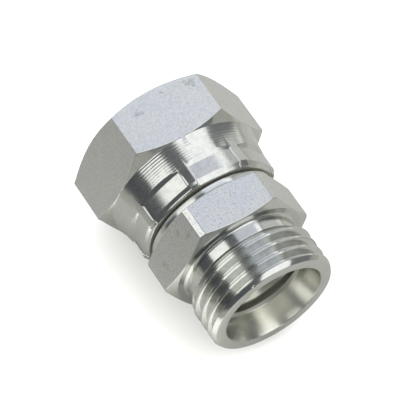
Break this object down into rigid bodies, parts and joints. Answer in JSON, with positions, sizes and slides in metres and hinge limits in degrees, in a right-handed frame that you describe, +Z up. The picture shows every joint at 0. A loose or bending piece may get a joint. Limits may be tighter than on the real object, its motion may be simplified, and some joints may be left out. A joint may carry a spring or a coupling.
{
  "type": "straight hydraulic fitting",
  "caption": "Straight hydraulic adapter in zinc-plated steel: crimped swivel nut over a cone nose at one end, male thread with a 24 degree cone mouth at the other.",
  "frame": {"origin": "on the fitting's axis, at the open end of the swivel nut", "axes": "+X along the axis, out of the male end; +Z up, out of the nut's upper flat; the lower flat rests on the ground"},
  "size_m": [0.0304, 0.0254, 0.022],
  "materials": {
    "zinc_body": "bright zinc plating over turned steel",
    "zinc_nut": "bright zinc plating over turned steel, satin on the flats",
    "seal_rubber": "smooth black nitrile rubber"
  },
  "bodies": {
    "body": {"adapter_body": "zinc_body", "o_ring": "seal_rubber"},
    "nut": {"swivel_nut": "zinc_nut"}
  },
  "joints": [
    {"name": "nut_swivel", "type": "hinge", "parent": "body", "child": "nut", "pos_m": [0, 0, 0], "axis": [1, 0, 0], "continuous": true}
  ]
}
